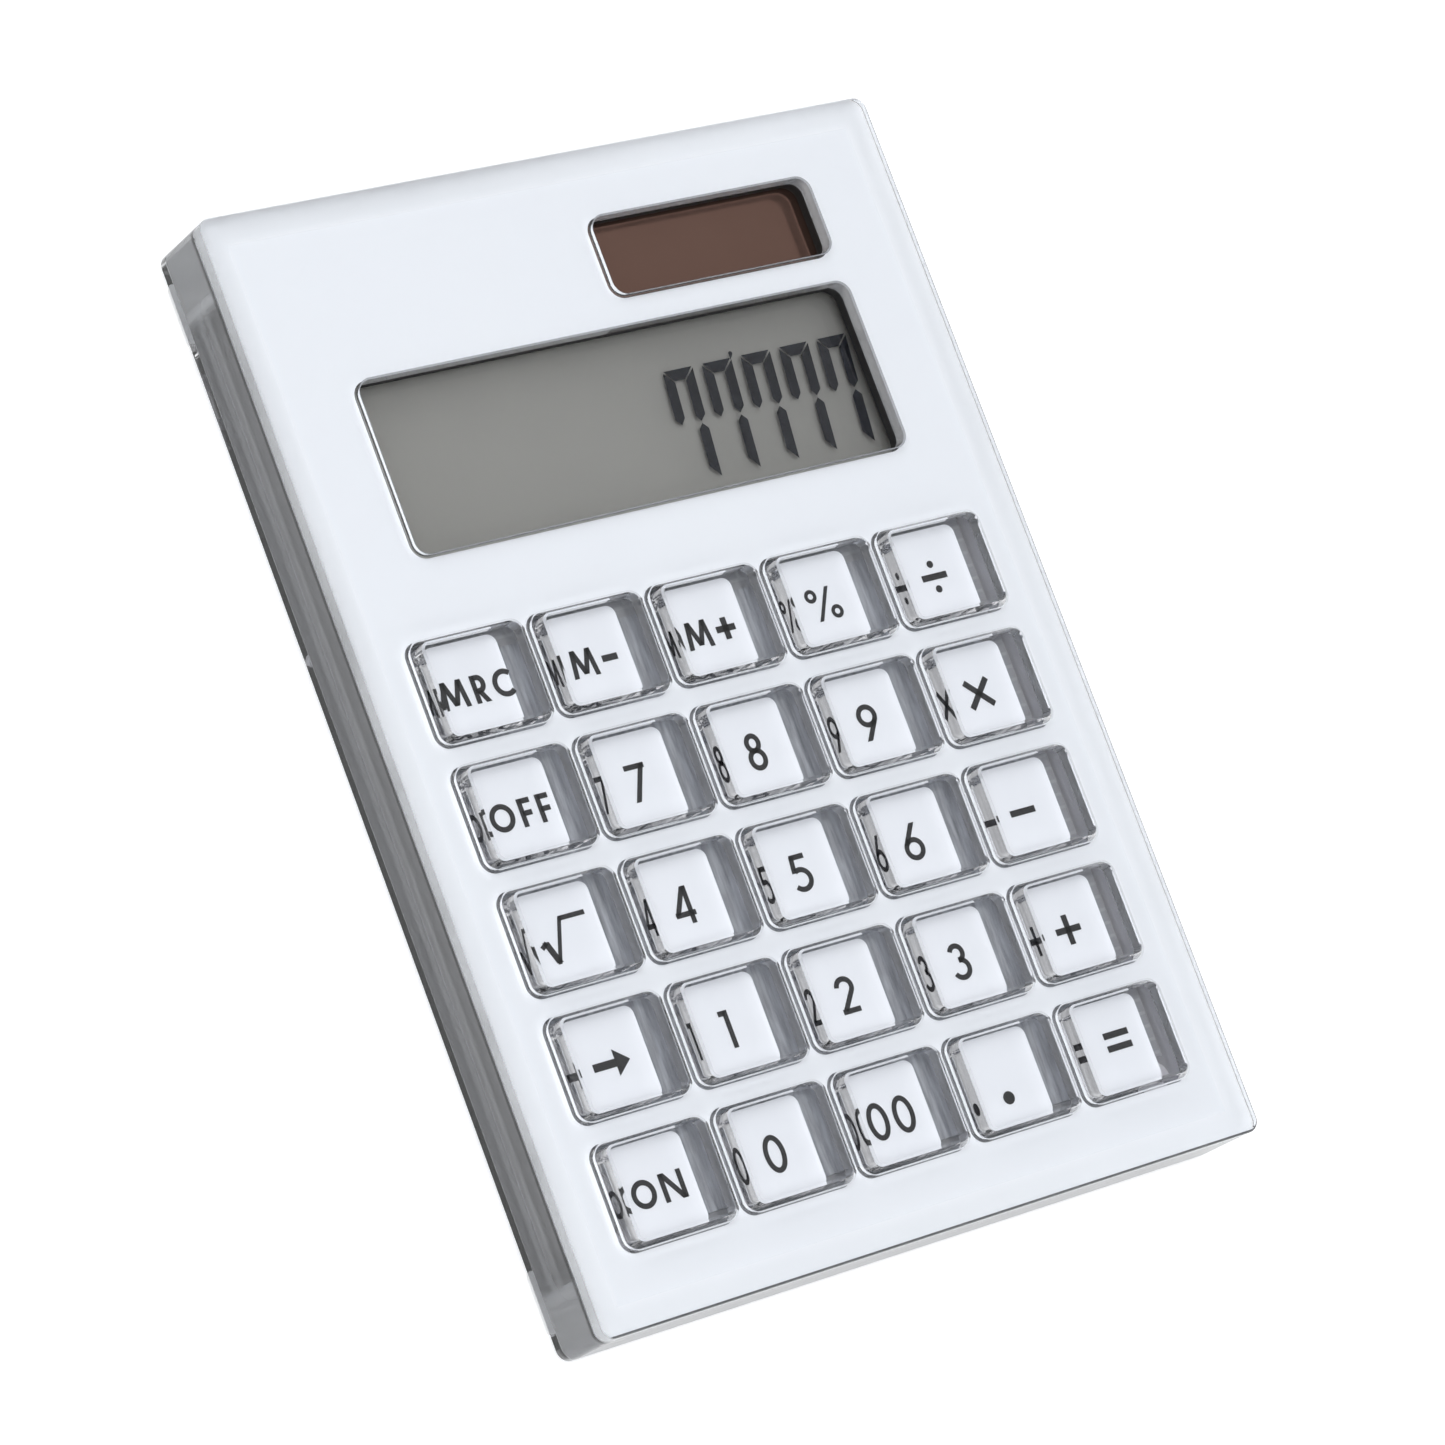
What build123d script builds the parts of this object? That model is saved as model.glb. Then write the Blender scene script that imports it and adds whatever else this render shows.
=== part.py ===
from build123d import *
import os

# Desk calculator in clear acrylic: a clear face plate with a white backing film, a thick clear
# case, and a grey chassis inside that carries the board, the display, the solar cell and the keys.
# Millimetres. The origin is at the middle of the footprint, on the surface that the feet stand on.
# X runs across the keys, Y runs from the keys to the solar cell, Z is up.

# Keys: clear blocks in a grid, each with a lip that the face plate holds down
KEY_NAMES = [
    ["mrc", "m_minus", "m_plus", "percent", "divide"],
    ["off", "7", "8", "9", "multiply"],
    ["root", "4", "5", "6", "minus"],
    ["arrow", "1", "2", "3", "plus"],
    ["on", "0", "00", "point", "equals"],
]
key_width = 17.1
key_length = 14.4
key_corner = 1.3
key_edge = 0.35
key_proud = 1.7
key_travel = 1.2
key_gap_x = 1.05
key_gap_y = 0.6
key_bridge_x = 1.7
key_bridge_y = 3.4
lip_reach_x = 0.7
lip_reach_y = 1.0
lip_thickness = 2.2
lip_clearance = 0.3
lip_room = 0.4
hole_corner = 2.0

# Clear shell
plate_thickness = 2.4
plate_corner = 2.0
plate_edge = 0.5
hole_edge = 0.25
film_thickness = 0.2
film_setback = 0.3
film_rim = 0.5
case_side_wall = 6.1
case_end_wall = 8.0
pocket_corner = 4.0
cover_thickness = 2.0
cover_edge = 0.4
fit = 0.2

# Feet and screws
foot_width = 7.5
foot_length = 9.4
foot_height = 1.2
foot_corner = 0.8
foot_side_inset = 0.6
foot_end_inset = 4.4
screw_diameter = 2.0
screw_head_diameter = 3.8
screw_head_height = 1.2
screw_clearance = 0.15
screw_boss = 5.2
boss_height = 3.2
screw_bite = 2.6
board_screw_inset = 2.9

# Chassis
chassis_wall = 1.2
chassis_floor = 1.2
deck_thickness = 0.9
rib_width = 1.0

# Board and rubber keypad
board_thickness = 1.2
board_clearance = 0.5
mat_thickness = 1.0
mat_clearance = 0.5
mat_inset = 3.4
mat_corner = 2.0
dome_inset = 3.85
dome_draft = 1.7
dome_height = 2.6
dome_clearance = 0.1

# Display
window_corner = 2.2
lcd_window_width = 88.4
lcd_window_length = 27.1
lcd_margin_x = 2.8
lcd_margin_y = 2.4
lcd_glass_thickness = 2.0
lcd_ledge = 2.5
lcd_polarizer_thickness = 0.2
lcd_reflector_thickness = 0.25
gasket_thickness = 1.8
gasket_setback = 0.15
ribbon_width = 60.0
ribbon_thickness = 0.2
ribbon_space = 8.7
ribbon_bend = 0.5
ribbon_landing = 2.6

# Solar cell
solar_window_width = 40.2
solar_window_length = 12.5
solar_margin = 1.25
solar_thickness = 1.1
solar_gap = 1.2
solar_room = 0.25
lead_diameter = 0.7
lead_inset = 4.0

# Button cell and its door
cell_diameter = 11.6
cell_thickness = 3.05
cell_cap_diameter = 9.6
cell_cap_height = 0.7
cell_pad = 0.25
cell_clearance = 0.4
contact_thickness = 0.3
contact_gap = 0.1
contact_width = 4.0
contact_tab = 3.0
cell_offset_x = 24.0
door_past_cell_tongue_end = 3.7
door_past_cell_screw_end = 11.7
door_length_y = 16.6
door_corner = 2.0
door_wall = 0.2
door_tongue = 2.0
door_tongue_width = 9.0
door_tongue_thickness = 0.9
door_screw_inset = 4.0

# Small board components
chip_diameter = 13.0
chip_clearance = 0.2
capacitor_diameter = 4.0
capacitor_length = 6.0
resistor_size = (3.2, 1.6, 0.7)
resistor_pitch = 3.6

# Grid and footprint, worked out from what they hold
rows = len(KEY_NAMES)
columns = len(KEY_NAMES[0])
hole_width = key_width + 2 * key_gap_x
hole_length = key_length + 2 * key_gap_y
key_pitch_x = hole_width + key_bridge_x
key_pitch_y = hole_length + key_bridge_y
lip_width = hole_width + 2 * lip_reach_x
lip_length = hole_length + 2 * lip_reach_y
grid_width = (columns - 1) * key_pitch_x + lip_width
grid_length = (rows - 1) * key_pitch_y + lip_length
dome_base = key_width - 2 * dome_inset
dome_top = dome_base - 2 * dome_draft
lcd_glass_width = lcd_window_width + 2 * lcd_margin_x
lcd_glass_length = lcd_window_length + 2 * lcd_margin_y
solar_cell_width = solar_window_width + 2 * solar_margin
solar_cell_length = solar_window_length + 2 * solar_margin
inner_width = grid_width + 2 * lip_room
inner_length = (
    lip_room + grid_length + ribbon_space + lcd_glass_length + solar_gap + solar_cell_length + solar_room
)
chassis_width = inner_width + 2 * chassis_wall
chassis_length = inner_length + 2 * chassis_wall
pocket_width = chassis_width + 2 * fit
pocket_length = chassis_length + 2 * fit
body_width = pocket_width + 2 * case_side_wall
body_length = pocket_length + 2 * case_end_wall

# Places along Y, from the key end to the solar end
inner_start = -inner_length / 2
grid_start = inner_start + lip_room
grid_end = grid_start + grid_length
lcd_start = grid_end + ribbon_space
lcd_end = lcd_start + lcd_glass_length
lcd_y = (lcd_start + lcd_end) / 2
solar_start = lcd_end + solar_gap
solar_y = solar_start + solar_cell_length / 2
inner_end = inner_length / 2
solar_x = (lcd_window_width - solar_window_width) / 2
solar_left = solar_x - solar_cell_width / 2
cell_x = -cell_offset_x
door_length_x = cell_diameter + door_past_cell_tongue_end + door_past_cell_screw_end
door_x = cell_x + (door_past_cell_screw_end - door_past_cell_tongue_end) / 2
cell_y = inner_end - door_wall - door_length_y / 2

# Levels, from the surface up
cover_bottom = foot_height
cover_top = cover_bottom + cover_thickness
floor_top = cover_top + chassis_floor
cell_bottom = cover_top + cell_pad
cell_top = cell_bottom + cell_thickness
board_top = cell_top + contact_gap
board_bottom = board_top - board_thickness
mat_top = board_top + mat_thickness
dome_level = mat_top + dome_height
key_bottom = dome_level + dome_clearance
lip_top = key_bottom + lip_thickness
film_bottom = lip_top + lip_clearance
plate_bottom = film_bottom + film_thickness
plate_top = plate_bottom + plate_thickness
key_top = plate_top + key_proud
lcd_top = film_bottom - gasket_thickness
glass_top = lcd_top - lcd_polarizer_thickness
glass_bottom = glass_top - lcd_glass_thickness
reflector_bottom = glass_bottom - lcd_reflector_thickness
lcd_deck_bottom = reflector_bottom - deck_thickness
solar_bottom = lcd_top - solar_thickness
solar_deck_bottom = solar_bottom - deck_thickness
cell_roof = cell_top + contact_gap + contact_thickness
boss_top = cover_top + boss_height

# Places of the screws and the feet
case_screw_x = inner_width / 2 - screw_boss / 2 - lip_room
case_screw_y = [
    inner_start + screw_boss / 2 + lip_room,
    grid_end + ribbon_space / 2,
    inner_end - screw_boss / 2 - lip_room,
]
case_screw_places = [(side * case_screw_x, y) for side in (-1, 1) for y in case_screw_y]
board_screw_x = inner_width / 2 - board_screw_inset
board_screw_y = [
    grid_start + lip_length + 0.5 * (key_pitch_y - lip_length),
    grid_end - lip_length - 0.5 * (key_pitch_y - lip_length),
]
board_screw_places = [(side * board_screw_x, y) for side in (-1, 1) for y in board_screw_y]
foot_x = body_width / 2 - foot_side_inset - foot_width / 2
foot_y = body_length / 2 - foot_end_inset - foot_length / 2
foot_places = [(x, y) for x in (-foot_x, foot_x) for y in (-foot_y, foot_y)]


def key_place(row, column):
    """Middle of one key, row 0 being the one next to the display."""
    x = (column - (columns - 1) / 2) * key_pitch_x
    y = grid_end - lip_length / 2 - row * key_pitch_y
    return x, y


key_places = [key_place(row, column) for row in range(rows) for column in range(columns)]


def slab(width, length, low, high, corner=0.0, at=(0.0, 0.0)):
    """Flat block between two levels, with rounded corners in plan."""
    outline = RectangleRounded(width, length, corner) if corner else Rectangle(width, length)
    return extrude(Pos(at[0], at[1], low) * outline, amount=high - low)


def post(diameter, low, high, at=(0.0, 0.0)):
    """Upright cylinder between two levels."""
    return extrude(Pos(at[0], at[1], low) * Circle(diameter / 2), amount=high - low)


def cut_outs(grow=0.0):
    """Outlines of the key holes and of the two windows, widened by grow on every side."""
    outlines = [
        Pos(x, y) * RectangleRounded(hole_width + 2 * grow, hole_length + 2 * grow, hole_corner + grow)
        for x, y in key_places
    ]
    outlines.append(lcd_outline(grow))
    outlines.append(solar_outline(grow))
    return Sketch() + outlines


def lcd_outline(grow=0.0):
    window = RectangleRounded(
        lcd_window_width + 2 * grow, lcd_window_length + 2 * grow, window_corner + grow
    )
    return Pos(0, lcd_y) * window


def solar_outline(grow=0.0):
    window = RectangleRounded(
        solar_window_width + 2 * grow, solar_window_length + 2 * grow, window_corner + grow
    )
    return Pos(solar_x, solar_y) * window


def top_face(shape):
    return shape.faces().sort_by(Axis.Z)[-1]


def screw(head_low, at, length, countersunk):
    """Screw along Z; a countersunk one points up from below, the other down from above."""
    shank = screw_diameter / 2
    head = screw_head_diameter / 2
    if countersunk:
        cone = Pos(at[0], at[1], head_low + screw_head_height / 2) * Cone(head, shank, screw_head_height)
        return cone + post(screw_diameter, head_low + screw_head_height, head_low + length, at)
    return post(screw_head_diameter, head_low, head_low + screw_head_height, at) + post(
        screw_diameter, head_low - length, head_low, at
    )


def screw_hole(low, high, at):
    return post(screw_diameter + 2 * screw_clearance, low, high, at)


def countersink(low, at):
    """Conical seat in the cover's underside for one countersunk head."""
    seat = Cone(
        screw_head_diameter / 2 + screw_clearance, screw_diameter / 2 + screw_clearance, screw_head_height
    )
    return Pos(at[0], at[1], low + screw_head_height / 2) * seat


# Clear shell


def make_face_plate():
    plate = slab(body_width, body_length, plate_bottom, plate_top, plate_corner)
    plate -= extrude(Pos(0, 0, plate_bottom) * cut_outs(), amount=plate_thickness)
    plate = fillet(top_face(plate).outer_wire().edges(), plate_edge)
    rims = [edge for wire in top_face(plate).inner_wires() for edge in wire.edges()]
    return chamfer(rims, hole_edge)


def make_face_backing():
    width = body_width - 2 * film_rim
    length = body_length - 2 * film_rim
    film = slab(width, length, film_bottom, plate_bottom, plate_corner - film_rim)
    return film - extrude(Pos(0, 0, film_bottom) * cut_outs(film_setback), amount=film_thickness)


def make_clear_case():
    case = slab(body_width, body_length, cover_top, film_bottom, plate_corner)
    return case - slab(pocket_width, pocket_length, cover_top, film_bottom, pocket_corner)


def door_place():
    """Middle of the battery door: the cell sits towards the tongue end, the screw at the other."""
    return door_x, cell_y


def make_back_cover():
    cover = slab(body_width, body_length, cover_bottom, cover_top, plate_corner)
    cover = chamfer(cover.faces().sort_by(Axis.Z)[0].outer_wire().edges(), cover_edge)
    cover -= slab(
        door_length_x + 2 * fit,
        door_length_y + 2 * fit,
        cover_bottom,
        cover_top,
        door_corner + fit,
        door_place(),
    )
    for at in case_screw_places:
        cover -= screw_hole(cover_bottom, cover_top, at)
        cover -= countersink(cover_bottom, at)
    return cover


def make_feet():
    return [slab(foot_width, foot_length, 0, foot_height, foot_corner, at) for at in foot_places]


def make_case_screws():
    length = cover_thickness + screw_bite
    return [screw(cover_bottom, at, length, True) for at in case_screw_places]


# Battery


def door_screw_place():
    return door_place()[0] + door_length_x / 2 - door_screw_inset, cell_y


def tongue_place():
    """Middle of the tongue, half of it over the door and half past its end."""
    return door_place()[0] - door_length_x / 2, cell_y


def make_battery_door():
    door = slab(door_length_x, door_length_y, cover_bottom, cover_top, door_corner, door_place())
    tongue_top = cover_top + door_tongue_thickness
    door += slab(2 * door_tongue, door_tongue_width, cover_top, tongue_top, 0, tongue_place())
    door -= screw_hole(cover_bottom, cover_top, door_screw_place())
    return door - countersink(cover_bottom, door_screw_place())


def make_battery_door_screw():
    return screw(cover_bottom, door_screw_place(), cover_thickness + screw_bite, True)


def make_button_cell():
    """Can with a narrower cap on the side of the negative strip."""
    at = (cell_x, cell_y)
    shoulder = cell_top - cell_cap_height
    return post(cell_diameter, cell_bottom, shoulder, at) + post(cell_cap_diameter, shoulder, cell_top, at)


def make_battery_contact_negative():
    """Flat strip over the cell that runs on to the board."""
    reach = cell_diameter / 2 + cell_clearance + chassis_wall + board_clearance + contact_tab
    length = reach + contact_width / 2
    middle = cell_y - reach / 2 + contact_width / 4
    return slab(contact_width, length, board_top, board_top + contact_thickness, 0, (cell_x, middle))


def make_battery_contact_positive():
    """Leaf against the side of the cell, bent over onto the board."""
    face = cell_x - cell_diameter / 2 - contact_gap
    leaf = slab(
        contact_thickness, contact_width, cell_bottom, board_top, 0, (face - contact_thickness / 2, cell_y)
    )
    reach = cell_clearance + chassis_wall + board_clearance + contact_tab
    tab = slab(
        reach, contact_width, board_top, board_top + contact_thickness, 0, (face - reach / 2, cell_y)
    )
    return leaf + tab


# Chassis


def tub_diameter():
    return cell_diameter + 2 * cell_clearance + 2 * chassis_wall


def make_battery_tub():
    """Round well for the cell with a roof over the negative strip."""
    at = (cell_x, cell_y)
    tub = post(tub_diameter(), cover_top, cell_roof + chassis_wall, at)
    return tub - post(tub_diameter() - 2 * chassis_wall, cover_top, cell_roof, at)


def make_contact_slots():
    """Ways through the wall of the well for the two contacts."""
    width = contact_width + 2 * fit
    reach = tub_diameter() / 2
    slots = slab(width, reach, board_top - fit, cell_roof, 0, (cell_x, cell_y - reach / 2))
    return slots + slab(reach, width, cover_top, cell_roof, 0, (cell_x - reach / 2, cell_y))


def make_display_deck():
    """Shelf for the display, with a fence on the two short sides and the far side."""
    length = lcd_glass_length + rib_width
    middle = lcd_start + length / 2
    deck = slab(inner_width, length, lcd_deck_bottom, reflector_bottom, 0, (0, middle))
    fence = slab(inner_width, length, reflector_bottom, glass_top, 0, (0, middle))
    well_length = lcd_glass_length + fit
    well = slab(
        lcd_glass_width + 2 * fit, well_length, reflector_bottom, glass_top, 0, (0, lcd_start + well_length / 2)
    )
    return deck + (fence - well)


def make_solar_deck():
    """Shelf for the solar cell, with holes for its leads."""
    left = solar_left - fit - rib_width
    width = inner_width / 2 - left
    length = inner_end - solar_start
    at = (left + width / 2, solar_start + length / 2)
    deck = slab(width, length, solar_deck_bottom, solar_bottom, 0, at)
    deck += slab(rib_width, length, solar_bottom, lcd_top, 0, (left + rib_width / 2, at[1]))
    for place in lead_places():
        deck -= post(2 * lead_diameter, solar_deck_bottom, solar_bottom, place)
    return deck


def make_inner_chassis():
    corner = pocket_corner - fit
    chassis = slab(chassis_width, chassis_length, cover_top, film_bottom, corner)
    chassis -= slab(inner_width, inner_length, floor_top, film_bottom, corner - chassis_wall)
    chassis += make_display_deck()
    chassis += make_solar_deck()
    for at in case_screw_places + [door_screw_place()]:
        chassis += post(screw_boss, floor_top, boss_top, at)
    for at in board_screw_places:
        chassis += post(screw_boss, floor_top, board_bottom, at)
    for column in range(columns - 1):
        x = (column - (columns - 2) / 2) * key_pitch_x
        chassis += slab(rib_width, grid_length, floor_top, board_bottom, 0, (x, grid_start + grid_length / 2))
    chassis += make_battery_tub()
    chassis -= post(cell_diameter + 2 * cell_clearance, cover_top, cell_roof, (cell_x, cell_y))
    chassis -= make_contact_slots()
    chassis -= slab(
        2 * door_tongue + 2 * fit,
        door_tongue_width + 2 * fit,
        cover_top,
        cover_top + door_tongue_thickness + fit,
        0,
        tongue_place(),
    )
    for at in case_screw_places + [door_screw_place()]:
        chassis -= post(screw_diameter, cover_top, cover_top + screw_bite, at)
    for at in board_screw_places:
        chassis -= post(screw_diameter, floor_top, board_bottom, at)
    return chassis


# Board, keypad and components


def make_circuit_board():
    width = inner_width - 2 * board_clearance
    length = inner_length - 2 * board_clearance
    board = slab(width, length, board_bottom, board_top)
    for x, y in case_screw_places:
        notch = screw_boss + 2 * board_clearance
        outward = notch if x > 0 else -notch
        board -= post(notch, board_bottom, board_top, (x, y))
        board -= slab(2 * notch, notch, board_bottom, board_top, 0, (x + outward, y))
        if abs(y) > inner_end - notch:
            beyond = notch if y > 0 else -notch
            board -= slab(notch, 2 * notch, board_bottom, board_top, 0, (x, y + beyond))
            board -= slab(2 * notch, 2 * notch, board_bottom, board_top, 0, (x + outward, y + beyond))
    for at in board_screw_places:
        board -= screw_hole(board_bottom, board_top, at)
    board -= post(screw_boss + 2 * board_clearance, board_bottom, board_top, door_screw_place())
    notch = tub_diameter() + 2 * board_clearance
    board -= post(notch, board_bottom, board_top, (cell_x, cell_y))
    notch_length = length / 2 - cell_y
    return board - slab(notch, notch_length, board_bottom, board_top, 0, (cell_x, cell_y + notch_length / 2))


def make_board_screws():
    length = board_top - floor_top
    return [screw(board_top, at, length, False) for at in board_screw_places]


def make_dome():
    return Pos(0, 0, dome_height / 2) * Cone(dome_base / 2, dome_top / 2, dome_height)


def make_rubber_keypad():
    width = 2 * (board_screw_x - screw_head_diameter / 2 - mat_clearance)
    length = grid_length - 2 * mat_inset
    mat = slab(width, length, board_top, mat_top, mat_corner, (0, grid_start + grid_length / 2))
    return mat + [Pos(x, y, mat_top) * make_dome() for x, y in key_places]


def make_controller_chip():
    """Low drop of resin over the chip, under the board beside the display ribbon."""
    height = board_bottom - floor_top - chip_clearance
    drop = Cone(chip_diameter / 2 - height, chip_diameter / 2, height)
    return Pos(0, grid_end + ribbon_space / 2, board_bottom - height / 2) * drop


def board_left_bay():
    """Middle of the free stretch of board between the side wall and the battery well."""
    left = -inner_width / 2 + board_clearance
    right = cell_x - tub_diameter() / 2 - board_clearance
    return (left + right) / 2


def make_capacitor():
    can = Cylinder(capacitor_diameter / 2, capacitor_length, rotation=(90, 0, 0))
    return Pos(board_left_bay(), cell_y, board_top + capacitor_diameter / 2) * can


def make_board_resistors():
    long, wide, tall = resistor_size
    x = solar_left - fit - rib_width - long
    return [
        slab(long, wide, board_top, board_top + tall, 0, (x, solar_y + step * resistor_pitch))
        for step in (-1, 0, 1)
    ]


# Display


def make_lcd_glass():
    """Two panes; the lower one sticks out towards the keys, where the ribbon is bonded."""
    middle = (glass_bottom + glass_top) / 2
    rear = slab(lcd_glass_width, lcd_glass_length, glass_bottom, middle, 0, (0, lcd_y))
    length = lcd_glass_length - lcd_ledge
    return rear + slab(lcd_glass_width, length, middle, glass_top, 0, (0, lcd_y + lcd_ledge / 2))


def make_lcd_polarizer():
    length = lcd_glass_length - lcd_ledge
    return slab(lcd_glass_width, length, glass_top, lcd_top, 0, (0, lcd_y + lcd_ledge / 2))


def make_lcd_reflector():
    return slab(lcd_glass_width, lcd_glass_length, reflector_bottom, glass_bottom, 0, (0, lcd_y))


def make_lcd_gasket():
    length = lcd_glass_length - lcd_ledge
    frame = slab(lcd_glass_width, length, lcd_top, film_bottom, 0, (0, lcd_y + lcd_ledge / 2))
    return frame - extrude(Pos(0, 0, lcd_top) * lcd_outline(gasket_setback), amount=gasket_thickness)


def make_lcd_ribbon():
    """Flat cable from the ledge of the glass down to the board."""
    half = ribbon_thickness / 2
    upper = (glass_bottom + glass_top) / 2 + half
    lower = board_top + half
    drop = lcd_start - ribbon_space / 4
    path = FilletPolyline(
        (lcd_start + lcd_ledge - fit, upper),
        (drop, upper),
        (drop - ribbon_bend * 2, lower),
        (drop - ribbon_bend * 2 - ribbon_landing, lower),
        radius=ribbon_bend,
    )
    return extrude(Plane.YZ * trace(path, ribbon_thickness), amount=ribbon_width / 2, both=True)


# Solar cell


def lead_places():
    return [(solar_x + side * (solar_cell_width / 2 - lead_inset), solar_y) for side in (-1, 1)]


def make_solar_cell():
    return slab(solar_cell_width, solar_cell_length, solar_bottom, lcd_top, 0, (solar_x, solar_y))


def make_solar_gasket():
    frame = slab(solar_cell_width, solar_cell_length, lcd_top, film_bottom, 0, (solar_x, solar_y))
    return frame - extrude(Pos(0, 0, lcd_top) * solar_outline(gasket_setback), amount=gasket_thickness)


def make_solar_leads():
    return [post(lead_diameter, board_top, solar_bottom, place) for place in lead_places()]


# Keys


def make_key():
    """Clear block with a lip round its foot, standing at the origin of X and Y."""
    block = slab(key_width, key_length, key_bottom, key_top, key_corner)
    block = chamfer(top_face(block).edges(), key_edge)
    return block + slab(lip_width, lip_length, key_bottom, lip_top, hole_corner)


pieces = {
    "face_plate": make_face_plate(),
    "face_backing": make_face_backing(),
    "clear_case": make_clear_case(),
    "inner_chassis": make_inner_chassis(),
    "back_cover": make_back_cover(),
    "case_screws": make_case_screws(),
    "feet": make_feet(),
    "battery_door": make_battery_door(),
    "battery_door_screw": make_battery_door_screw(),
    "button_cell": make_button_cell(),
    "battery_contact_negative": make_battery_contact_negative(),
    "battery_contact_positive": make_battery_contact_positive(),
    "circuit_board": make_circuit_board(),
    "board_screws": make_board_screws(),
    "controller_chip": make_controller_chip(),
    "capacitor": make_capacitor(),
    "board_resistors": make_board_resistors(),
    "rubber_keypad": make_rubber_keypad(),
    "lcd_glass": make_lcd_glass(),
    "lcd_polarizer": make_lcd_polarizer(),
    "lcd_reflector": make_lcd_reflector(),
    "lcd_gasket": make_lcd_gasket(),
    "lcd_ribbon": make_lcd_ribbon(),
    "solar_cell": make_solar_cell(),
    "solar_gasket": make_solar_gasket(),
    "solar_leads": make_solar_leads(),
}

key = make_key()
for row in range(rows):
    for column in range(columns):
        x, y = key_place(row, column)
        pieces["key_" + KEY_NAMES[row][column]] = Pos(x, y) * key

os.makedirs("parts", exist_ok=True)
for name, shape in pieces.items():
    if isinstance(shape, list):
        shape = Compound(children=shape)
    export_step(shape, f"parts/{name}.step")

print(f"body {body_width:.1f} x {body_length:.1f}, face at {plate_top:.2f}, keys to {key_top:.2f}")
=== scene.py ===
"""Looks of a clear acrylic desk calculator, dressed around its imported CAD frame. Metres, Z up."""

import math

import bmesh
import bpy
import numpy as np
from mathutils import Matrix, Vector


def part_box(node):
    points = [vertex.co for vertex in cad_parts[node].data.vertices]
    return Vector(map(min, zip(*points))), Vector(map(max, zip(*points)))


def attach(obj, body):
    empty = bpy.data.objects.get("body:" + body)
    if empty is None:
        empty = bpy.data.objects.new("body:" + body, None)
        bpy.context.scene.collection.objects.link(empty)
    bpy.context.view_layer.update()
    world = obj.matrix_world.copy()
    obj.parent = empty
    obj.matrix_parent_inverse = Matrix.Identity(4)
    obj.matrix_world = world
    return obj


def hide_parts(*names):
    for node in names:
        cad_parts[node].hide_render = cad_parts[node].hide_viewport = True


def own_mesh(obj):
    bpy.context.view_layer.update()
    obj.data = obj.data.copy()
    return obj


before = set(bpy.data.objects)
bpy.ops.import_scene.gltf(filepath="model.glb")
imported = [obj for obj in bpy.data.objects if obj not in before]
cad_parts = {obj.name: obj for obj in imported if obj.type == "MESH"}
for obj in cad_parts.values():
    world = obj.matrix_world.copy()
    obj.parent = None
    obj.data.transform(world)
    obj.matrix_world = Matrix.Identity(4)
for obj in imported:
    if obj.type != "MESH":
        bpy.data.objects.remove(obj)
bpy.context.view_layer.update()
scene = bpy.context.scene
mm = 0.001

# Camera, as the photograph was taken: place, right, up and back in the object's frame
camera_place = np.array([-483.476, -139.895, 713.320]) * mm
camera_right = np.array([0.80373516, -0.34720848, 0.48317291])
camera_up = np.array([0.20666386, 0.92442381, 0.32051626])
camera_back = np.array([-0.5579425, -0.15775581, 0.81474736])
camera_lens = 146.98
camera_near = 0.05
sensor_width = 36.0

# Sizes taken over from the CAD
plate_half_width = 60.0 * mm
plate_half_length = 84.925 * mm
plate_corner = 2.0 * mm
hole_width = 19.2 * mm
hole_length = 15.6 * mm
hole_corner = 2.0 * mm
lcd_window_width = 88.4 * mm
lcd_window_length = 27.1 * mm
lcd_middle = (0.0, 43.125 * mm)
solar_window_width = 40.2 * mm
solar_window_length = 12.5 * mm
solar_middle = (24.1 * mm, 67.775 * mm)
window_corner = 2.2 * mm

# White film behind the face plate, and the hair of air between pieces that touch a clear one
film_setback = 0.3 * mm
film_rim = 0.12 * mm
film_air = 0.03 * mm
rest_air = 0.04 * mm
rest_bite = 0.03 * mm

# Where the finishes of the plate, the case and the chassis change
wall_reach = 3.0 * mm
wall_least_tilt = 0.92
wall_full_tilt = 0.55
# Bevels that get painted shade: how level a bevel is, its spread, and how far it must lean to the right and
# near end
bevel_tilt = 0.6
bevel_spread = 0.35
shaded_bevel_lean = 0.3
window_start = 24.0 * mm
plate_underside = 13.03 * mm
seam_low = 11.95 * mm
seam_full = 12.25 * mm
# Margin of the plate: matt on its underside, and painted light on the film there
matt_and_painted_light_width = 6.0 * mm
matt_and_painted_light_full = 2.4 * mm
matt_rough = 0.55
# Chassis: where its painted pale inside ends, and the heights over which its painted light band and dark line
# run outside
chassis_lining = 53.1 * mm
chassis_line_low = 3.2 * mm
chassis_line_high = 9.2 * mm

# Optics of the clear pieces, and the depth of grain and hairlines
acrylic_ior = 1.49
film_ior = 1.001
grain_depth = 0.05 * mm
scratch_depth = 0.01 * mm

# White pad and black legend at the foot of each key
pad_width = 12.6 * mm
pad_shift = -0.15 * mm
pad_length = 14.1 * mm
pad_corner = 1.5 * mm
pad_low = -0.07 * mm
pad_high = -0.03 * mm
legend_low = 0.01 * mm
legend_high = 0.05 * mm
legend_shift = np.array([-0.3, -0.45]) * mm

# Rubber mat, and the dome under each key
mat_corner = 2.0 * mm
dome_height = 2.6 * mm
dome_foot = 4.7 * mm
dome_crown = 2.7 * mm
dome_shoulder = 0.3 * mm

# Strokes of the legends, in millimetres
stroke_width = 0.80
half_stroke = stroke_width / 2
letter_height = 4.25
letter_gap = 1.0
digit_height = 5.7
sign_width = 4.65
sign_stroke = 1.0

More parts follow.
